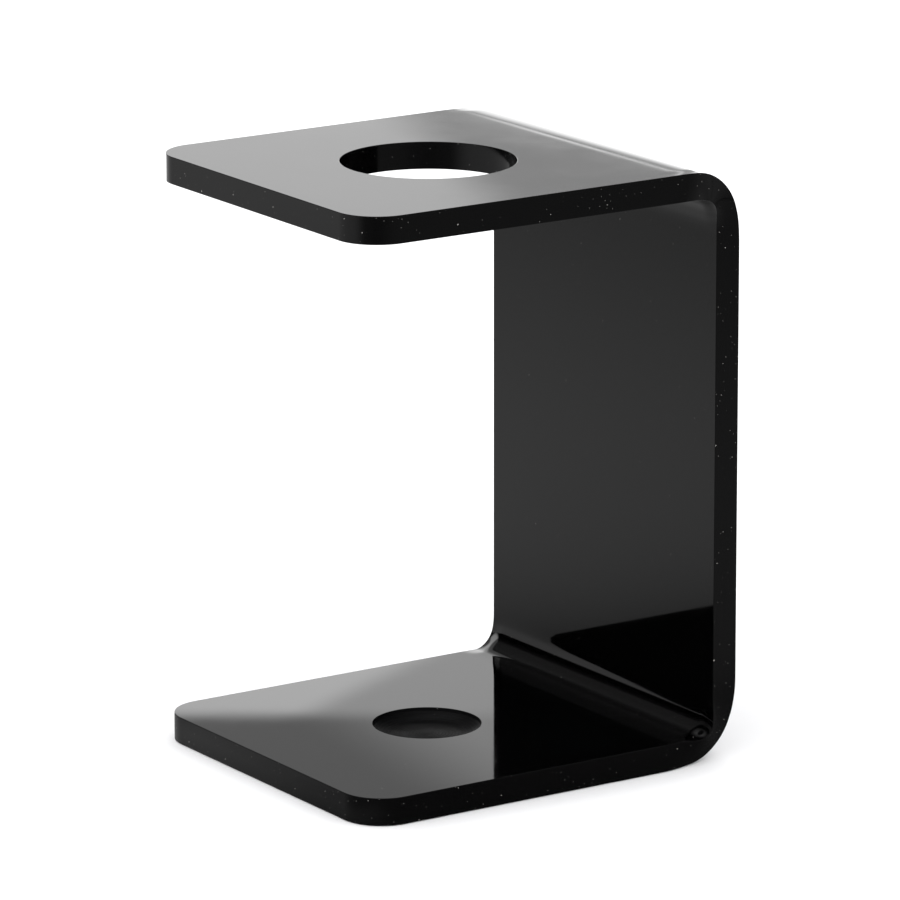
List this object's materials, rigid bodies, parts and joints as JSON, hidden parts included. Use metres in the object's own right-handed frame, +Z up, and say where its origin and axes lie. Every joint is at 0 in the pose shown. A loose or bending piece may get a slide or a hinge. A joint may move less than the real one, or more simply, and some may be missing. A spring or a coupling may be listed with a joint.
{
  "type": "hair dryer holder",
  "caption": "C-shaped free-standing holder bent from thick gloss black sheet, with a round through hole in the top plate above a round blind pocket in the base.",
  "frame": {"origin": "centre of the bounding box in plan, on the surface that the base stands on", "axes": "+Z up from the base to the top plate; +Y from the free front edges to the back panel; +X along the bends, from side edge to side edge"},
  "size_m": [0.1156, 0.1262, 0.174],
  "materials": {
    "black_acrylic": "mirror-gloss black cast acrylic, polished cut edges, satin machined pocket floor"
  },
  "bodies": {
    "root": {"bent_sheet": "black_acrylic"}
  },
  "joints": []
}
